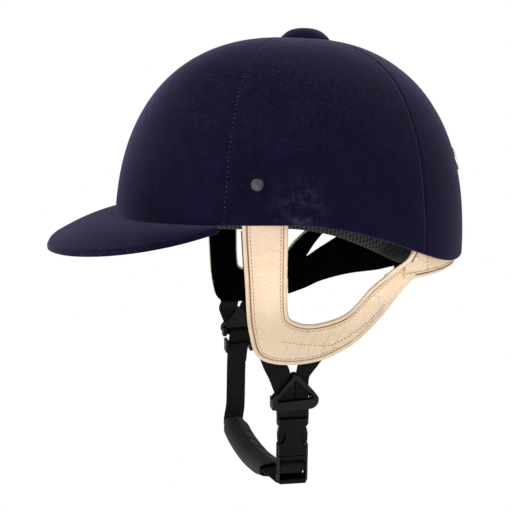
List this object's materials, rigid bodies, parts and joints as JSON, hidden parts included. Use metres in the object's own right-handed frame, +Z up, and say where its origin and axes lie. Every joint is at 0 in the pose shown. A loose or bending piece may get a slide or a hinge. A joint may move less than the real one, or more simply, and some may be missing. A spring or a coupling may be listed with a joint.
{
  "type": "equestrian riding helmet",
  "caption": "Riding helmet: velvet-covered dome with a peak and crown button, tan leather harness with ear openings, and a padded chin strap closed by a side-release buckle.",
  "frame": {"origin": "middle of the head opening in the dome's base plane, where the head sits", "axes": "+X forward through the peak, +Y to the wearer's left, +Z up through the crown"},
  "size_m": [0.3174, 0.2096, 0.3491],
  "materials": {
    "velvet": "short-pile velvet, soft sheen at the edges",
    "shell_plastic": "moulded, matt",
    "foam": "moulded bead foam",
    "leather": "fine-grained, satin",
    "black_cloth": "matt padded cloth",
    "mesh": "spacer mesh",
    "webbing": "woven, slight sheen",
    "buckle_plastic": "moulded, satin",
    "rivet_metal": "dark coated",
    "plate": "brushed, bare"
  },
  "bodies": {
    "helmet": {"outer_shell": "shell_plastic", "cover_front": "velvet", "cover_left": "velvet", "cover_right": "velvet", "cover_rear": "velvet", "peak_core": "shell_plastic", "peak_cover": "velvet", "peak_underside": "black_cloth", "crown_button": "velvet", "button_shank": "rivet_metal", "button_washer": "rivet_metal", "impact_liner": "foam", "crown_pad": "mesh", "headband": "mesh", "hook_patches": "black_cloth", "rear_plate": "plate", "side_rivet_left": "rivet_metal", "side_rivet_right": "rivet_metal", "rivet_washer_left": "rivet_metal", "rivet_washer_right": "rivet_metal", "harness_tab_left": "leather", "harness_tab_right": "leather", "nape_band": "leather", "nape_lining": "black_cloth", "neck_band": "black_cloth"},
    "harness_left": {"flap_leather_left": "leather", "flap_lining_left": "black_cloth", "flap_piping_left": "leather", "front_webbing_left": "webbing", "rear_webbing_left": "webbing", "divider_left": "buckle_plastic"},
    "harness_right": {"flap_leather_right": "leather", "flap_lining_right": "black_cloth", "flap_piping_right": "leather", "front_webbing_right": "webbing", "rear_webbing_right": "webbing", "divider_right": "buckle_plastic"},
    "socket": {"buckle_loop": "webbing", "buckle_socket": "buckle_plastic"},
    "chin_strap": {"chin_webbing": "webbing", "strap_keeper": "buckle_plastic", "chin_pad": "mesh"},
    "plug": {"buckle_plug": "buckle_plastic", "strap_end_webbing": "webbing"},
    "latch_front": {"latch_arm_front": "buckle_plastic"},
    "latch_rear": {"latch_arm_rear": "buckle_plastic"}
  },
  "joints": [
    {"name": "harness_sway", "type": "hinge", "parent": "helmet", "child": "harness_left", "pos_m": [0.0386, 0.0769, 0.0355], "axis": [1, 0, 0], "range_deg": [-7, 7]},
    {"name": "right_harness_sway", "type": "hinge", "parent": "helmet", "child": "harness_right", "pos_m": [0.0386, -0.0769, 0.0355], "axis": [1, 0, 0], "range_deg": [-7, 7]},
    {"name": "socket_level", "type": "hinge", "parent": "harness_left", "child": "socket", "pos_m": [0.0186, 0.0769, -0.0878], "axis": [1, 0, 0], "range_deg": [-7, 7]},
    {"name": "chin_strap_level", "type": "hinge", "parent": "harness_right", "child": "chin_strap", "pos_m": [0.023, -0.0769, -0.0878], "axis": [1, 0, 0], "range_deg": [-7, 7]},
    {"name": "buckle_release", "type": "slide", "parent": "chin_strap", "child": "plug", "axis": [0, 0, -1], "range_m": [0, 0.026], "deforming": ["strap_end_webbing", "latch_arm_front", "latch_arm_rear"]},
    {"name": "latch_press", "type": "hinge", "parent": "plug", "child": "latch_front", "pos_m": [0.02652, 0.07579, -0.1274], "axis": [-0.1392, -0.9903, 0], "range_deg": [0, 7], "stiffness_Nm_per_rad": 0.1},
    {"name": "rear_latch_press", "type": "hinge", "parent": "plug", "child": "latch_rear", "pos_m": [0.01068, 0.07801, -0.1274], "axis": [0.1392, 0.9903, 0], "range_deg": [0, 7], "stiffness_Nm_per_rad": 0.1}
  ],
  "couplings": [
    {"joint": "right_harness_sway", "follows": "harness_sway", "ratio": 1},
    {"joint": "socket_level", "follows": "harness_sway", "ratio": -1},
    {"joint": "chin_strap_level", "follows": "harness_sway", "ratio": -1},
    {"joint": "rear_latch_press", "follows": "latch_press", "ratio": 1}
  ]
}
